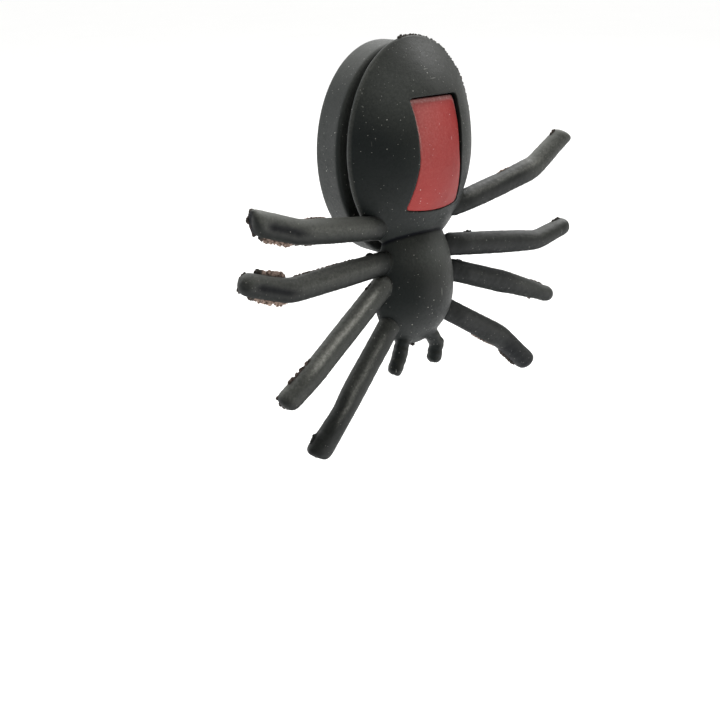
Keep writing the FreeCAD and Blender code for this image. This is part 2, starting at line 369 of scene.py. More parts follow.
def collar(p, name):
    """The start of a leg, which belongs to the body and lies just under the leg's own skin."""
    root, along, above = leg_frame(name)
    q = p - root
    _, up, down = leg_edges(name)
    t, s, v = q @ along, q @ above - (up[0] - down[0]) / 2, q[:, 1]
    half_w, half_t = COLLAR_SHARE * LEG_HALF_W, COLLAR_SHARE * LEG_HALF_T
    v = np.where(v < 0, v / front_share(name, t), v)
    behind = np.minimum(t, 0)
    out = np.maximum(np.sqrt((s / half_w) ** 2 + (v / half_t) ** 2 + (behind / half_w) ** 2), 1e-6)
    slope = np.sqrt((s / half_w ** 2) ** 2 + (v / half_t ** 2) ** 2 + (behind / half_w ** 2) ** 2)
    return round_max((out - 1) * out / np.maximum(slope, 1e-6), t - STUB_OUT, COLLAR_END)


def palp(p, name):
    """A short feeler along two straight runs."""
    y = FRONT - PALP_R
    points = [np.array([x, y, z]) for x, z in PALPS[name]]
    nearest = []
    for start, end in zip(points, points[1:]):
        run = end - start
        share = np.clip((p - start) @ run / (run @ run), 0, 1)
        nearest.append(np.linalg.norm(p - start - share[:, None] * run, axis=1))
    run = points[2] - points[1]
    beyond = (p - points[2]) @ (run / np.linalg.norm(run)) - PALP_CUT
    whole = round_min(nearest[0], nearest[1], PALP_BEND) - PALP_R + 0.05 * ripple(p, 1.1, 5)
    return round_max(whole, beyond + 0.10 * ripple(p, 0.9, 6), PALP_END)


def abdomen_field(p):
    """The domed abdomen with its pocket."""
    whole = dome(p, ABDOMEN_HIGH[0], ABDOMEN_UP, ABDOMEN_DOWN, ABDOMEN_CROWN_Z,
                 ABDOMEN_RIM, ABDOMEN_DOME, ABDOMEN_EDGE, ABDOMEN_FALL)
    shifted = p - np.array([POCKET_SHIFT[0], 0, POCKET_SHIFT[1]])
    outline = hourglass(shifted, POCKET_GAP, POCKET_CORNER)
    pocket = round_max(outline, p[:, 1] - POCKET_FLOOR, POCKET_FOOT)
    return round_max(whole, -pocket, POCKET_LIP)


def thorax_field(p):
    """The cephalothorax, a second dome."""
    return dome(p, THORAX_HIGH[0], THORAX_UP, THORAX_CROWN_Z - THORAX_LOW[2],
                THORAX_CROWN_Z, THORAX_RIM, THORAX_HIGH[1] - THORAX_LOW[1] - THORAX_RIM,
                THORAX_EDGE, THORAX_FALL)


def front_moulding_field(p):
    """The body's front: abdomen, cephalothorax, palps and the legs' collars in one."""
    solid = round_min(abdomen_field(p), thorax_field(p), WAIST_FILLET)
    for name in PALPS:
        solid = round_min(solid, palp(p, name), ROOT_FILLET)
    for name in LEGS:
        solid = round_min(solid, collar(p, name), ROOT_FILLET)
    return np.maximum(solid + BODY_WAVE * ripple(p, 3.5, 1), p[:, 1] - FRONT)


# ---------------------------------------------------------------- meshes

def crossings(field, value, low, pitch, k):
    """Where the surface crosses the lattice's lines along axis k: the places, the surface's
    normals there, and the four cells round each."""
    i, j = (k + 1) % 3, (k + 2) % 3
    step = np.eye(3, dtype=int)
    near = [slice(None)] * 3
    far = [slice(None)] * 3
    near[k], far[k] = slice(None, -1), slice(1, None)
    inside = value < 0
    index = np.argwhere(inside[tuple(near)] != inside[tuple(far)])
    a = value[tuple(index.T)]
    start = low + pitch * index
    lower, upper = np.zeros(len(a)), np.ones(len(a))
    for _ in range(12):
        middle = (lower + upper) / 2
        same = (field(start + pitch * middle[:, None] * step[k]) < 0) == (a < 0)
        lower, upper = np.where(same, middle, lower), np.where(same, upper, middle)
    point = start + pitch * ((lower + upper) / 2)[:, None] * step[k]
    reach = 0.01
    normal = np.stack([field(point + reach * step[m]) - field(point - reach * step[m])
                       for m in range(3)], 1)
    normal /= np.maximum(np.linalg.norm(normal, axis=1, keepdims=True), 1e-9)
    ring = np.stack([index, index - step[i], index - step[i] - step[j], index - step[j]], 1)
    return point, normal, np.where((a < 0)[:, None, None], ring, ring[:, ::-1])


def net(field, low, high, pitch):
    """Points and quads of the closed surface where a field is zero (dual contouring)."""
    counts = np.ceil((high - low) / pitch).astype(int) + 1
    axes = [low[k] + pitch * np.arange(counts[k]) for k in range(3)]
    lattice = np.stack(np.meshgrid(*axes, indexing="ij"), -1).reshape(-1, 3)
    value = np.concatenate([field(part) for part in np.array_split(lattice, LATTICE_PARTS)])
    value = value.reshape(counts)
    found = [crossings(field, value, low, pitch, k) for k in range(3)]
    points, normals, cells = (np.concatenate(column) for column in zip(*found))
    points, normals = np.repeat(points, 4, 0), np.repeat(normals, 4, 0)
    flat = np.ravel_multi_index(cells.reshape(-1, 3).T, counts)
    unique, quads = np.unique(flat, return_inverse=True)
    total = len(unique)
    hits = np.bincount(quads, minlength=total)
    mean = np.stack([np.bincount(quads, points[:, m], total) for m in range(3)], 1) / hits[:, None]
    # Each cell's point is where the planes through its crossings meet, held near their mean.
    square = np.zeros((total, 3, 3))
    pull = np.zeros((total, 3))
    offset = np.einsum("nk,nk->n", normals, points - mean[quads])
    for m in range(3):
        pull[:, m] = np.bincount(quads, normals[:, m] * offset, total)
        for n in range(3):
            square[:, m, n] = np.bincount(quads, normals[:, m] * normals[:, n], total)
    hold = 0.1
    square += hold * hits[:, None, None] * np.eye(3)
    place = mean + np.linalg.solve(square, pull[:, :, None])[:, :, 0]
    corner = low + pitch * np.stack(np.unravel_index(unique, counts), 1)
    return np.clip(place, corner, corner + pitch), quads.reshape(-1, 4)


def make_piece(name, points, faces, material, body=BODY):
    """A smooth-shaded mesh from points in millimetres."""
    mesh = bpy.data.meshes.new(name)
    mesh.from_pydata((np.asarray(points) * MM).tolist(), [], [list(map(int, f)) for f in faces])
    mesh.validate()
    mesh.shade_smooth()
    mesh.materials.append(material)
    piece = bpy.data.objects.new(name, mesh)
    bpy.context.scene.collection.objects.link(piece)
    if body:
        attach(piece, body)
    return piece


def skin(rings):
    """Faces between equal rings of points, with a fan over each end."""
    rings = [np.asarray(ring) for ring in rings]
    count = len(rings[0])
    points = np.concatenate(rings)
    faces = []
    for r in range(len(rings) - 1):
        for c in range(count):
            d = (c + 1) % count
            faces.append((r * count + c, r * count + d, (r + 1) * count + d, (r + 1) * count + c))
    for r, flip in ((0, True), (len(rings) - 1, False)):
        pole = len(points)
        points = np.vstack([points, rings[r].mean(0)])
        for c in range(count):
            d = (c + 1) % count
            fan = (r * count + c, r * count + d, pole)
            faces.append(fan[::-1] if flip else fan)
    return points, faces


# ---------------------------------------------------------------- legs

def leg_line(name):
    """Centre points of a leg from its root to the middle of its rounded tip."""
    (upper, _), (lower, lower_way) = LEGS[name]
    root, into, _ = leg_frame(name)
    b = math.radians(lower_way)
    out = np.array([math.cos(b), 0, math.sin(b)])
    knee = root + into * upper
    tip = knee + out * lower
    start, end = knee - into * KNEE_SOFTNESS, knee + out * KNEE_SOFTNESS
    bend = [(1 - u) ** 2 * start + 2 * u * (1 - u) * knee + u ** 2 * end
            for u in np.linspace(0, 1, 16)]
    path = np.array([root] + bend + [tip])
    lengths = np.concatenate([[0], np.cumsum(np.linalg.norm(np.diff(path, axis=0), axis=1))])
    return path, lengths


def station(name, t):
    """Centre, direction, upper side and half width of a leg at a distance from its root."""
    path, lengths = leg_line(name)
    _, _, above = leg_frame(name)
    inside = min(max(t, 0.1), lengths[-1] - 0.1)
    before, after = (np.array([np.interp(inside + k, lengths, path[:, m]) for m in range(3)])
                     for k in (-0.1, 0.1))
    along = (after - before) / np.linalg.norm(after - before)
    across = np.array([-along[2], 0, along[0]])
    across *= np.sign(across @ above)
    where, share = np.array(WIDTHS[name]).T
    half_w = LEG_HALF_W * np.interp(t, where, share)
    return (before + after) / 2 + along * (t - inside), along, across, half_w


def leg_section():
    """Round a leg: how far aside and how far forward the rubber lies, and what faces forward."""
    angles = np.linspace(0, 2 * math.pi, LEG_POINTS, endpoint=False)
    c, f = np.cos(angles), np.sin(angles)
    # The front of the section is a little peaked, and its back is a little flat.
    side = np.sign(c) * np.abs(c) ** np.where(f > 0, 0.92, 0.84)
    front = np.where(f > 0, f, -np.abs(f) ** 0.8)
    return side, front, f


def leg_stations(length, power):
    """Along a leg: distances from its root, and how thick it is there over its usual size."""
    cap = np.sin(np.linspace(0, math.pi / 2, 18)[:-1])
    stations = [(-LEG_HALF_W * c, (1 - c ** 2) ** 0.5) for c in cap[:0:-1]]
    stations += [(t, 1.0) for t in np.arange(0, length, LEG_STEP)]
    return stations + [(length + LEG_HALF_W * c, (1 - c ** power) ** (1 / power)) for c in cap]


def leg_skin(name, seed):
    """Rings of a leg, and how much painted light, painted highlight, and crust and painted shade each of its
    points has.
    """
    _, lengths = leg_line(name)
    length = lengths[-1]
    power, slant, crust = TIPS[name]
    side, front, f = leg_section()
    upper_tone, lower_tone, highlighted, highlight_at = TONES[name]
    knee = LEGS[name][0][0]
    where, up, down = leg_edges(name)
    upper_shade, lower_shade = SHADES.get(name, (0, 0))
    worn = name in FADED_HOLLOW_LEGS
    rings, light, crest, dark = [], [], [], []
    for t, scale in leg_stations(length, power):
        centre, along, across, half_w = station(name, t)
        sway = np.array([[t, seed * 7.0, 0.0]])
        half_w = half_w * scale * (1 + 0.02 * ripple(sway, 6, seed)[0])
        half_t = LEG_HALF_T * scale * (1 + 0.02 * ripple(sway, 5, seed + 50)[0])
        lower_run = smooth(t, knee - 1.6, knee + 1.0) * (1 - smooth(t, length - 1.0, length + 0.6))
        hollow = worn * lower_run * np.exp(-((side + 0.05) / 0.4) ** 2) * (f > 0)
        end = smooth(t, length - 0.8, length + 0.5)
        reach = side * half_w + scale * (np.interp(t, where, up) * np.maximum(side, 0)
                                         + np.interp(t, where, down) * np.minimum(side, 0))
        forward = front * half_t * np.where(f > 0, front_share(name, t), 1) - HOLLOW_DEPTH * hollow
        rings.append(centre + reach[:, None] * across - forward[:, None] * np.array([0, 1, 0])
                     + (slant * end * reach)[:, None] * along)
        wander = 0.05 * ripple(sway, 4, seed + 20)[0]
        tone = upper_tone + (lower_tone - upper_tone) * smooth(t, knee - 3.5, knee + 1.0)
        if worn:
            tone *= smooth(t, -1.0, 3.0)
        light.append(np.full(len(side), tone))
        streak = np.exp(-((side - highlight_at - wander) / STREAK_W) ** 2) * (f > 0) * smooth(t, 0.0, 2.5)
        crest.append(highlighted * streak * (1 - smooth(t, length - 5.5, length - 2.0)))
        crusted = crust * smooth(t, length + 0.85, length + 1.3) * (1 - 0.85 * smooth(f, 0.1, 0.7))
        shade = upper_shade + (lower_shade - upper_shade) * smooth(t, knee - 1.0, knee + 1.5)
        # Dark crust at the end, and painted shade in the hollow and over shaded legs.
        dark.append(np.maximum(np.maximum(0.85 * hollow, crusted), shade))
    return rings, np.concatenate(light), np.concatenate(crest), np.concatenate(dark)


def paint(piece, **layers):
    """Values for each point of a mesh, which its material looks up by name."""
    for layer, values in layers.items():
        attribute = piece.data.attributes.new(layer, "FLOAT", "POINT")
        filled = np.resize(values, len(piece.data.vertices))
        attribute.data.foreach_set("value", filled.astype(np.float32))


def bend_with_leg(piece):
    """Bakes a piece's placement into its points."""
    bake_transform(piece)


def build_leg(name, seed, material):
    """A leg's rubber, with the layers that its material looks up."""
    rings, light, crest, dark = leg_skin(name, seed)
    points, faces = skin(rings)
    light, crest, dark = (np.append(layer, [layer[0], layer[-1]]) for layer in (light, crest, dark))
    points = points + LEG_WAVE * np.stack([ripple(points, 0.9, seed + k) for k in (90, 91, 92)], 1)
    piece = make_piece(f"{name}_rubber", points, faces, material, body=None)
    paint(piece, light=light, crest=crest, dark=dark)
    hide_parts(name)
    bend_with_leg(piece)


# ---------------------------------------------------------------- torn flash

def crumb_mesh(crumbs):
    """One lumpy surface round a row of crumbs: (centre, three axes, three radii) each."""
    centres = np.array([crumb[0] for crumb in crumbs])
    reach = max(max(radii) for _, _, radii in crumbs) + 0.3

    def field(p):
        total = np.full(len(p), 9.0)
        for centre, axes, radii in crumbs:
            q = ((p - centre) @ np.array(axes).T) / radii
            out = np.linalg.norm(q, axis=1)
            slope = np.maximum(np.linalg.norm(q / radii, axis=1), 1e-6)
            total = round_min(total, (out - 1) * out / slope, 0.05)
        return total + 0.035 * ripple(p, 0.35, 3)

    return net(field, centres.min(0) - reach, centres.max(0) + reach, CRUMB_PITCH)


def crumb_piece(name, rows, material, body):
    """Rows of crumbs as one piece: (crumbs, how tan they are) each. Without a body, it is
    attached to none."""
    points, faces, tan = [], [], []
    count = 0
    for crumbs, tint in rows:
        some_points, some_faces = crumb_mesh(crumbs)
        points.append(some_points)
        faces.append(some_faces + count)
        tan.append(np.full(len(some_points), tint))
        count += len(some_points)
    piece = make_piece(name, np.concatenate(points), np.concatenate(faces), material, body=body)
    paint(piece, flash=np.concatenate(tan), light=[0.2])
    return piece


def flash_row(name, run, seed):
    """Crumbs and curls along one stretch of a leg's parting line."""
    side, start, end, reach, _ = run
    random = np.random.RandomState(seed)
    crumbs = []
    t = start
    while t < end:
        fade = 0.45 + 0.55 * min(1, (t - start) / 0.6, (end - t) / 0.6)
        centre, along, across, half_w = station(name, t)
        out = reach * fade * random.uniform(0.55, 1.0)
        size = max(0.5 * out, 0.07)
        lift = PARTING + 0.25 * size * random.uniform(-1, 1)
        place = centre + side * across * (half_w - FLASH_ROOT + out - size) + np.array([0, lift, 0])
        radii = (random.uniform(0.9, 1.5) * size, size + 0.1, 0.10 + 0.3 * size)
        crumbs.append((place, (along, across, (0, 1, 0)), radii))
        t += random.uniform(0.8, 1.5) * max(size, 0.16)
    return crumbs


def end_row(name, seed):
    """Crumbs round the rim of a leg's end."""
    count, reach = END_CRUMBS[name]
    _, lengths = leg_line(name)
    _, slant, _ = TIPS[name]
    random = np.random.RandomState(seed)
    centre, along, across, half_w = station(name, lengths[-1])
    crumbs = []
    for k in range(count):
        turn = -1.1 + 2.2 * (k + random.uniform(0.2, 0.8)) / count
        out = math.cos(turn) * half_w * 0.9
        aside = math.sin(turn) * half_w * 1.02
        size = reach * random.uniform(0.45, 0.8)
        place = centre + along * (out + slant * aside) + across * aside
        place = place + np.array([0, PARTING + random.uniform(0.0, 0.4), 0])
        radii = (size, size * random.uniform(0.8, 1.5), 0.8 * size)
        crumbs.append((place, (along, across, (0, 1, 0)), radii))
    return crumbs


def build_flash(name, seed, material):
    """All of a leg's torn flash."""
    rows = [(flash_row(name, run, 40 * seed + k), run[4]) for k, run in enumerate(FLASH[name])]
    rows.append((end_row(name, 40 * seed + 30), 0.12))
    bend_with_leg(crumb_piece(f"{name}_flash", rows, material, None))


# ---------------------------------------------------------------- body pieces

def build_front_moulding(material):
    """The front of the spider's body, with painted shade in its crease, painted light in patches and a
    painted highlight along the abdomen's left rim.
    """
    pitch = BODY_PITCH[1]
    # The lattice holds the abdomen, the legs' collars and the palps, whose ends are lowest.
    low = np.array([ABDOMEN_LOW[0] - 0.6, ABDOMEN_LOW[1] - 0.6, -29.2])
    high = np.array([ABDOMEN_HIGH[0] + 0.6, FRONT + 0.5, ABDOMEN_HIGH[2] + 0.6])
    points, quads = net(front_moulding_field, low, high, pitch)
    piece = make_piece("front_moulding", points, quads, material)
    rim = np.abs(abdomen_field(points)) + np.abs(FRONT - points[:, 1] - ABDOMEN_RIM)
    # A painted highlight along the abdomen's left rim.
    rim_highlight = 0.09 * (1 - smooth(rim, 0.1, 0.3)) * smooth(-points[:, 0], 3.0, 6.0)
    # Painted shade in the crease where the abdomen meets the thorax.
    crease = np.maximum(np.abs(abdomen_field(points)), np.abs(thorax_field(points)))
    # Patches of painted light.
    bloom = sum(share * np.exp(-((points[:, 0] - x) / wide) ** 2 - ((points[:, 2] - z) / tall) ** 2)
                for (x, z), (wide, tall), share in PALE_PATCHES)
    paint(piece, dark=0.9 - 0.9 * smooth(crease, 0.03, 0.45), crest=rim_highlight, bloom=bloom)
    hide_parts("abdomen", "cephalothorax", "palp_left", "palp_right")


def ellipse_ring(half_w, half_h, z_mid, y, count=144):
    """Points round an upright oval."""
    a = np.linspace(0, 2 * math.pi, count, endpoint=False)
    return np.stack([half_w * np.cos(a), np.full(count, y), z_mid + half_h * np.sin(a)], 1)


def build_rear_plate(material):
    """A thick oval pad with rounded edges."""
    half_w, half_h = PLATE_HIGH[0], (PLATE_HIGH[2] - PLATE_LOW[2]) / 2
    z_mid = (PLATE_HIGH[2] + PLATE_LOW[2]) / 2
    near, far = PLATE_LOW[1], PLATE_HIGH[1]
    shares = np.linspace(0.04, 0.92, 14)
    corner = [(PLATE_EDGE * (math.sin(a) - 1), PLATE_EDGE * (1 - math.cos(a)))
              for a in np.linspace(0, math.pi / 2, 7)]
    levels = np.linspace(near + PLATE_EDGE, far - PLATE_EDGE, 12)[1:-1]
    rings = [ellipse_ring(half_w * k, half_h * k, z_mid, near) for k in shares]
    rings += [ellipse_ring(half_w + inset, half_h + inset, z_mid, near + y) for inset, y in corner]
    rings += [ellipse_ring(half_w, half_h, z_mid, y) for y in levels]
    rings += [ellipse_ring(half_w + inset, half_h + inset, z_mid, far - y) for inset, y in corner[::-1]]
    rings += [ellipse_ring(half_w * k, half_h * k, z_mid, far) for k in shares[::-1]]
    points, faces = skin(rings)
    piece = make_piece("rear_pad", points, faces, material)
    # Paler towards the top.
    paint(piece, bloom=0.08 + 0.22 * smooth(points[:, 2], -3.0, 9.0))
    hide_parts("rear_plate")


def build_neck(material):
    """The round neck between the strings, flared where it meets the rubber on both sides."""
    radius = NECK_HIGH[0]
    near, far = NECK_LOW[1], NECK_HIGH[1]
    rings = []
    for share in np.linspace(0, 1, 13):
        y = near + (far - near) * share
        flared = radius + NECK_FLARE * abs(2 * share - 1) ** 4 - NECK_INSET
        rings.append(ellipse_ring(flared, flared, 0, y, 96))
    points, faces = skin(rings)
    piece = make_piece("neck_rubber", points, faces, material)
    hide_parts("string_neck")


def inlay_outline(inset):
    """Points round the hourglass, where rays from its middle meet its outline."""
    a = np.linspace(0, 2 * math.pi, INLAY_POINTS, endpoint=False)
    ray = np.stack([np.cos(a), np.zeros(INLAY_POINTS), np.sin(a)], 1)
    middle = np.array([0, 0, WAIST_Z])
    near, far = np.zeros(INLAY_POINTS), np.full(INLAY_POINTS, 12.0)
    for _ in range(26):
        reach = (near + far) / 2
        inside = hourglass(middle + reach[:, None] * ray, -inset, INLAY_CORNER) < 0
        near, far = np.where(inside, reach, near), np.where(inside, far, reach)
    return middle + near[:, None] * ray


def build_inlay(material):
    """A red pad that follows the dome, with a soft edge. Its upper end sits deeper."""
    def face_y(ring, sunk):
        deeper = SINK_SLOPE * np.maximum(ring[:, 2] - SINK_FROM_Z, 0)
        return FRONT - abdomen_top(ring[:, 0], ring[:, 2]) + INLAY_SINK + deeper + sunk

    rings, edge = [], []
    wall = inlay_outline(0.0)
    # The face's edge has a painted highlight at its upper left.
    upper_left = np.array([-0.5, 0, 0.87])
    edge_highlight = smooth((wall - np.array([0, 0, WAIST_Z])) @ upper_left, 1.5, 5.0)
    for share in np.linspace(0, 1, 8):
        ring = wall.copy()
        ring[:, 1] = (1 - share) * POCKET_FLOOR + share * face_y(wall, INLAY_EDGE + EDGE_DROP)
        rings.append(ring)
        edge.append(np.zeros(len(ring)))
    for turn in np.linspace(0, math.pi / 2, 6)[1:]:
        ring = inlay_outline(INLAY_EDGE * (1 - math.cos(turn)))
        ring[:, 1] = face_y(ring, INLAY_EDGE * (1 - math.sin(turn)) + EDGE_DROP)
        rings.append(ring)
        edge.append(edge_highlight)
    top = inlay_outline(INLAY_EDGE)
    for k in np.linspace(0.97, 0.02, 26):
        ring = top * k
        ring[:, 2] = WAIST_Z + (top[:, 2] - WAIST_Z) * k
        ring[:, 1] = face_y(ring, EDGE_DROP * k ** 8)
        rings.append(ring)
        edge.append(edge_highlight * (k > 0.95))
    points, faces = skin(rings)
    points[:, 1] += 0.01 * ripple(points, 1.6, 12)
    faces = [face[::-1] for face in faces]
    piece = make_piece("hourglass_rubber", points, faces, material)
    paint(piece, edge=np.append(np.concatenate(edge), [0, 0]))
    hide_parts("hourglass_inlay")


def build_body_flash(material):
    """Torn nibs and low steps of flash round the abdomen's rim, and a nib on the thorax."""
    random = np.random.RandomState(8)
    rows = []
    for degrees, reach, spread, tint in RIM_FLASH:
        crumbs = []
        for k in np.arange(-spread, spread + 0.1, 1.6):
            a = math.radians(degrees + k + random.uniform(-0.5, 0.5))
            half_h = ABDOMEN_UP if math.sin(a) > 0 else ABDOMEN_DOWN
            x, z = ABDOMEN_HIGH[0] * math.cos(a), ABDOMEN_CROWN_Z + half_h * math.sin(a)
            place = np.array([x, FRONT - 0.2, z])
            out = np.array([math.cos(a) / ABDOMEN_HIGH[0], 0, math.sin(a) / half_h])
            out /= np.linalg.norm(out)
            tangent = np.array([-out[2], 0, out[0]])
            size = reach * random.uniform(0.5, 1.0)
            radii = (0.16 + 0.5 * size, 0.14 + 0.5 * size, 0.13)
            crumbs.append((place + out * (size - 0.16), (tangent, out, (0, 1, 0)), radii))
        rows.append((crumbs, tint))
    x, size = THORAX_NIB
    nib = (np.array([x, FRONT - 0.3, THORAX_LOW[2] - 0.1]), np.eye(3), (size, size, 0.8 * size))
    rows.append(([nib], 0.1))
    crumb_piece("body_flash", rows, material, BODY)


# ---------------------------------------------------------------- materials

RUBBER = ((0.0062, 0.0090, 0.0088, 1), (0.0100, 0.0134, 0.0124, 1))
LEG_RUBBER = ((0.0036, 0.0052, 0.0052, 1), (0.0060, 0.0082, 0.0078, 1))
# Paler rubber where the body faces up and forward: dust, with painted light from above
BODY_DUST_AND_LIGHT = (0.0305, 0.032, 0.027, 1)
# Painted light in patches on the body's front; on the rear pad, paler towards the top
PALE_PATCH = (0.105, 0.112, 0.104, 1)
# Paler legs where they face up: painted light from above, scaled by each leg's painted light, with some dust
LEG_DUST_AND_LIGHT = (0.105, 0.108, 0.096, 1)
# Dust specks and scratches, and the painted highlight along the legs' crests and the abdomen's left rim
PALE_MARK_AND_HIGHLIGHT = (0.42, 0.42, 0.38, 1)
# Dark crust on the legs' ends, and painted shade in the crease, in hollows and on shaded legs
DARK_CRUST_AND_SHADE = (0.0032, 0.0034, 0.0070, 1)
TAN_FILM = ((0.09, 0.060, 0.045, 1), (0.46, 0.33, 0.27, 1))

RED_IN_SHADE = (0.285, 0.023, 0.021, 1)
RED_LIT = (0.385, 0.042, 0.038, 1)
RED_PATCH = (0.40, 0.046, 0.042, 1)
RED_WORN = (0.46, 0.088, 0.080, 1)
# Paler towards the top, and painted light where it faces left
RED_PALE = (0.68, 0.25, 0.23, 1)
# A painted highlight along the face's upper left edge
RED_HIGHLIGHT = (0.72, 0.48, 0.45, 1)
RED_MARK = (0.78, 0.48, 0.47, 1)

FLOOR_WHITE = ((0.94, 0.94, 0.93, 1), (0.96, 0.96, 0.95, 1))


class Nodes:
    """A short way to write a node tree: most calls add a node and return its output."""

    def __init__(self, name):
        self.material = bpy.data.materials.new(name)
        self.material.use_nodes = True
        self.tree = self.material.node_tree
        self.shader = self.tree.nodes["Principled BSDF"]
        place = self.add("ShaderNodeTexCoord")
        scale = self.add("ShaderNodeMapping", Vector=place.outputs["Object"])
        scale.inputs["Scale"].default_value = (1 / MM,) * 3
        self.mm = scale.outputs["Vector"]
        self.normal = place.outputs["Normal"]

    def add(self, kind, settings=(), **inputs):
        """A node of a kind, with its settings and with values or links for its inputs."""
        node = self.tree.nodes.new(kind)
        for key, value in dict(settings).items():
            setattr(node, key, value)
        for key, value in inputs.items():
            self.feed(node.inputs[key.replace("_", " ")], value)
        return node

    def feed(self, socket, value):
        """Puts a link or a plain value into an input."""
        if isinstance(value, bpy.types.NodeSocket):
            self.tree.links.new(value, socket)
        else:
            socket.default_value = value

    def facing(self, way):
        """How far a surface faces one way, from -1 to 1."""
        node = self.add("ShaderNodeVectorMath", {"operation": "DOT_PRODUCT"})
        self.feed(node.inputs[0], self.normal)
        node.inputs[1].default_value = Vector(way).normalized()
        return node.outputs["Value"]

    def layer(self, name):
        """A value that paint() has put on the mesh's points, or 0 where it has none."""
        return self.add("ShaderNodeAttribute", {"attribute_name": name}).outputs["Fac"]

    def noise(self, scale, detail, roughness=0.55):
        node = self.add("ShaderNodeTexNoise", Vector=self.mm, Scale=scale, Detail=detail,
                        Roughness=roughness)
        return node.outputs["Fac"]

    def ramp(self, value, low, high, to_low=0.0, to_high=1.0):
        """A smooth step from one value to another."""
        node = self.add("ShaderNodeMapRange", {"interpolation_type": "SMOOTHSTEP"}, Value=value)
        ends = {"From Min": low, "From Max": high, "To Min": to_low, "To Max": to_high}
        for key, number in ends.items():
            node.inputs[key].default_value = number
        return node.outputs["Result"]

    def math(self, operation, a, b):
        node = self.add("ShaderNodeMath", {"operation": operation})
        self.feed(node.inputs[0], a)
        self.feed(node.inputs[1], b)
        return node.outputs["Value"]

    def times(self, a, b):
        return self.math("MULTIPLY", a, b)

    def without(self, share):
        """What a share leaves of 1."""
        return self.math("SUBTRACT", 1.0, share)

    def mix(self, share, a, b):
        node = self.add("ShaderNodeMix", {"data_type": "RGBA"})
        self.feed(node.inputs["Factor"], share)
        self.feed(node.inputs["A"], a)
        self.feed(node.inputs["B"], b)
        return node.outputs["Result"]

    def specks(self, scale, radius, rare, stretch=(1, 1, 1), turn=(0, 0, 0)):
        """Scattered spots: 1 inside a spot. rare is the share of cells that have none."""
        spread = self.add("ShaderNodeMapping", Vector=self.mm)
        spread.inputs["Scale"].default_value = stretch
        spread.inputs["Rotation"].default_value = turn
        cells = self.add("ShaderNodeTexVoronoi", Vector=spread.outputs["Vector"], Scale=scale)
        spot = self.ramp(cells.outputs["Distance"], radius * scale, 0.55 * radius * scale)
        chosen = self.add("ShaderNodeSeparateColor", Color=cells.outputs["Color"]).outputs["Red"]
        return self.times(spot, self.ramp(chosen, rare, rare + 0.25))

    def bump(self, heights, strength):
        """Bumps one over the other: (height as a value from 0 to 1, how deep that is in mm)."""
        normal = None
        for height, depth in heights:
            node = self.add("ShaderNodeBump", Height=height, Strength=strength, Distance=depth * MM)
            if normal:
                self.feed(node.inputs["Normal"], normal)
            normal = node.outputs["Normal"]
        self.feed(self.shader.inputs["Normal"], normal)


def dusty_marks(n):
    """Dust specks and hairline scratches, as one mask."""
    dust = n.specks(0.85, 0.095, 0.3)
    fine_dust = n.specks(1.7, 0.07, 0.15)
    scratch = n.specks(2.1, 0.045, 0.45, stretch=(1, 1, 0.07), turn=(0.4, 0.9, 0.2))
    cross_scratch = n.specks(2.1, 0.04, 0.55, stretch=(0.07, 1, 1), turn=(0.1, -0.6, 0.5))
    marks = n.math("MAXIMUM", dust, n.times(fine_dust, 0.6))
    lines = n.times(n.math("MAXIMUM", scratch, cross_scratch), 0.8)
    return n.math("MAXIMUM", marks, lines)


def black_color(n, broad, fine, is_leg, marks):
    """Black rubber, with dust, painted light, painted highlights, crust and painted shade, one over the
    other.
    """
    # Paler where it faces up and forward: dust, with painted light from above. The other sides stay dark.
    speckle = n.ramp(fine, 0.0, 1.0, 0.6, 1.0)
    upward_dust_and_light = n.times(n.ramp(n.facing((0.25, -0.35, 0.90)), 0.1, 0.62), speckle)
    body_dust_and_light = n.times(upward_dust_and_light, n.without(n.times(is_leg, 0.75)))
    # Legs are paler where they face up: painted light from above, with some dust.
    leg_dust_and_light = n.times(n.ramp(n.facing((0.45, -0.10, 0.89)), -0.4, 0.6, 0.1, 1.0), speckle)
    rubber = n.mix(is_leg, n.mix(broad, *RUBBER), n.mix(broad, *LEG_RUBBER))
    paled = n.mix(body_dust_and_light, rubber, BODY_DUST_AND_LIGHT)
    # Painted light in patches on the body, and paler towards the top on the rear pad.
    bloom = n.times(n.layer("bloom"), n.ramp(fine, 0.0, 1.0, 0.7, 1.0))
    bloomed = n.mix(bloom, paled, PALE_PATCH)
    # How much of it each leg takes is its painted light, in the light layer.
    legs = n.mix(n.times(n.layer("light"), leg_dust_and_light), bloomed, LEG_DUST_AND_LIGHT)
    # A painted highlight along the legs' crests and the abdomen's left rim.
    crest = n.times(n.layer("crest"), n.ramp(fine, 0.0, 1.0, 0.5, 1.0))
    highlighted = n.mix(crest, legs, PALE_MARK_AND_HIGHLIGHT)
    # Dark crust on the legs' ends, and painted shade in the crease, in hollows and on shaded legs.
    worn = n.mix(n.times(n.layer("dark"), 0.92), highlighted, DARK_CRUST_AND_SHADE)
    film = n.mix(n.ramp(n.noise(2.8, 4.0), 0.36, 0.6), *TAN_FILM)
    skin_color = n.mix(n.layer("flash"), worn, film)
    return n.mix(n.times(marks, 0.7), skin_color, PALE_MARK_AND_HIGHLIGHT)


def black_sheen(n, is_leg):
    """How much the rubber shines. Its left side, its underside and dark places shine less."""
    left_side = n.ramp(n.facing((-0.71, -0.61, 0.35)), 0.6, 0.95, 0.34, 0.16)
    underside = n.ramp(n.facing((0.0, 0.0, -1.0)), 0.6, 0.95, 1.0, 0.4)
    leg_under = n.times(is_leg, n.ramp(n.facing((0.0, 0.1, -1.0)), 0.0, 0.75, 0.0, 0.7))
    sheen = n.times(n.times(left_side, underside), n.without(leg_under))
    return n.times(sheen, n.ramp(n.layer("dark"), 0.0, 1.0, 1.0, 0.2))


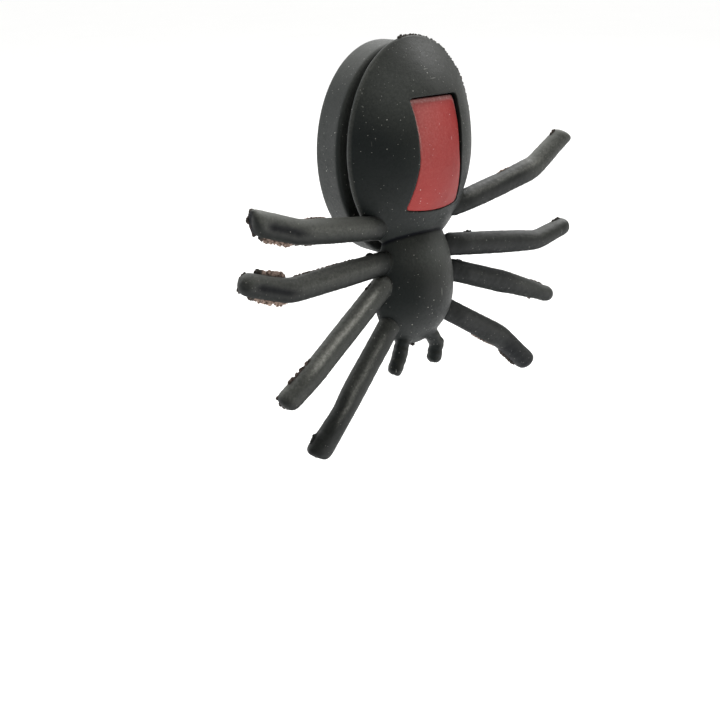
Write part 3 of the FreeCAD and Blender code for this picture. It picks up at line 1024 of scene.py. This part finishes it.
def black_rubber():
    """Matte black rubber. Legs are told from the body by their "light" layer."""
    n = Nodes("black_rubber")
    broad = n.ramp(n.noise(0.16, 2.0), 0.3, 0.7)
    fine = n.ramp(n.noise(3.2, 5.0, 0.65), 0.3, 0.75)
    is_leg = n.ramp(n.layer("light"), 0.0, 0.12)
    marks = n.times(dusty_marks(n), n.without(n.times(is_leg, 0.4)))
    rough = n.math("ADD", n.ramp(fine, 0.0, 1.0, 0.50, 0.64), n.ramp(broad, 0.0, 1.0, -0.03, 0.04))
    n.feed(n.shader.inputs["Base Color"], black_color(n, broad, fine, is_leg, marks))
    n.feed(n.shader.inputs["Roughness"], rough)
    n.feed(n.shader.inputs["Specular IOR Level"], black_sheen(n, is_leg))
    n.shader.inputs["IOR"].default_value = 1.5
    n.bump([(n.noise(0.5, 2.0), 0.10), (n.noise(5.0, 4.0, 0.6), 0.035), (marks, 0.02)], 0.6)
    return n.material


def red_rubber():
    """Satin red rubber, with painted shade where it faces away from the left."""
    n = Nodes("red_rubber")
    broad = n.ramp(n.noise(0.35, 2.0), 0.3, 0.7)
    fine = n.ramp(n.noise(4.0, 5.0, 0.65), 0.35, 0.75)
    left = n.facing((-0.85, -0.45, 0.25))
    red = n.mix(n.ramp(left, 0.2, 0.55), RED_IN_SHADE, RED_LIT)
    red = n.mix(n.times(broad, 0.3), red, RED_PATCH)
    worn = n.mix(n.times(fine, 0.3), red, RED_WORN)
    # The upper part is paler, more so where it faces left, which is painted light, and its edge has a painted
    # highlight.
    height = n.add("ShaderNodeSeparateXYZ", Vector=n.mm).outputs["Z"]
    film = n.times(n.ramp(height, -6.0, 6.0, 0.0, 0.34), n.ramp(fine, 0.0, 1.0, 0.6, 1.0))
    film = n.times(film, n.ramp(left, 0.25, 0.75, 0.1, 1.6))
    paled = n.mix(film, worn, RED_PALE)
    # A painted highlight along the face's upper left edge.
    edge = n.times(n.layer("edge"), n.ramp(fine, 0.0, 1.0, 0.25, 0.7))
    highlighted = n.mix(edge, paled, RED_HIGHLIGHT)
    marks = dusty_marks(n)
    color = n.mix(n.times(marks, 0.75), highlighted, RED_MARK)
    n.feed(n.shader.inputs["Base Color"], color)
    n.feed(n.shader.inputs["Roughness"], n.ramp(fine, 0.0, 1.0, 0.42, 0.56))
    n.shader.inputs["Specular IOR Level"].default_value = 0.24
    n.bump([(n.noise(0.7, 2.0), 0.10), (n.noise(6.0, 4.0, 0.6), 0.03), (marks, 0.02)], 0.6)
    return n.material


def pale_floor():
    """A matte white that varies a very little."""
    n = Nodes("pale_floor")
    n.feed(n.shader.inputs["Base Color"], n.mix(n.noise(0.02, 2.0), *FLOOR_WHITE))
    n.shader.inputs["Roughness"].default_value = 0.8
    return n.material


# ---------------------------------------------------------------- studio

FLOOR_SIZE = 6.0                         # half its width, in metres
FLOOR_DROP = 0.03                        # from the spider's lowest point
LIGHT_AIM = (0, 0, -0.008)
CAMERA_PLACE = (-0.08844, -0.10484, 0.02340)
CAMERA_RIGHT = (0.78650, -0.61697, -0.02782)
CAMERA_UP = (0.23580, 0.25835, 0.93684)
CAMERA_LENS = 57.0


def build_floor():
    """A pale floor well below, which is part of the stage."""
    far, depth = FLOOR_SIZE, CAD_BOX[0][2] - FLOOR_DROP
    corners = [(-far, -far, depth), (far, -far, depth), (far, far, depth), (-far, far, depth)]
    mesh = bpy.data.meshes.new("floor")
    mesh.from_pydata(corners, [], [(0, 1, 2, 3)])
    mesh.materials.append(pale_floor())
    floor = bpy.data.objects.new("floor", mesh)
    bpy.context.scene.collection.objects.link(floor)


def area_light(name, place, size, power):
    """A square lamp that shines at the spider's middle."""
    light = bpy.data.lights.new(name, "AREA")
    light.size = size
    light.energy = power
    lamp = bpy.data.objects.new(name, light)
    lamp.location = place
    lamp.rotation_euler = (Vector(LIGHT_AIM) - Vector(place)).to_track_quat("-Z", "Y").to_euler()
    bpy.context.scene.collection.objects.link(lamp)


def build_lights():
    """A soft, broad light from above, with a lamp from the right and one from the left rear."""
    world = bpy.data.worlds.new("studio")
    world.use_nodes = True
    background = world.node_tree.nodes["Background"]
    background.inputs["Color"].default_value = (1, 1, 1, 1)
    background.inputs["Strength"].default_value = 0.16
    bpy.context.scene.world = world
    sun = bpy.data.lights.new("broad", "SUN")
    sun.energy = 3.1
    sun.angle = math.radians(100)
    lamp = bpy.data.objects.new("broad", sun)
    lamp.rotation_euler = Vector((-0.35, -0.45, -1)).to_track_quat("-Z", "Y").to_euler()
    bpy.context.scene.collection.objects.link(lamp)
    area_light("key", (0.26, 0.03, 0.36), size=0.30, power=1.7)
    area_light("left_rear", (-0.28, 0.30, 0.02), size=0.30, power=0.8)
    bpy.context.scene.view_settings.view_transform = "Standard"


def build_camera():
    """The view from the front left and a little above."""
    right, up = Vector(CAMERA_RIGHT), Vector(CAMERA_UP)
    back = right.cross(up)
    camera = bpy.data.objects.new("camera", bpy.data.cameras.new("camera"))
    camera.data.lens = CAMERA_LENS
    camera.data.sensor_width = 36.0
    camera.data.clip_start = 0.005
    turn = Matrix((right, up, back)).transposed().to_4x4()
    camera.matrix_world = Matrix.Translation(CAMERA_PLACE) @ turn
    bpy.context.scene.collection.objects.link(camera)
    bpy.context.scene.camera = camera


# ---------------------------------------------------------------- the scene

build_camera()
build_lights()
build_floor()
BLACK = black_rubber()
RED = red_rubber()
build_front_moulding(BLACK)
build_rear_plate(BLACK)
build_neck(BLACK)
build_inlay(RED)
build_body_flash(BLACK)
for number, leg_name in enumerate(LEGS):
    build_leg(leg_name, number + 1, BLACK)
    build_flash(leg_name, number + 1, BLACK)
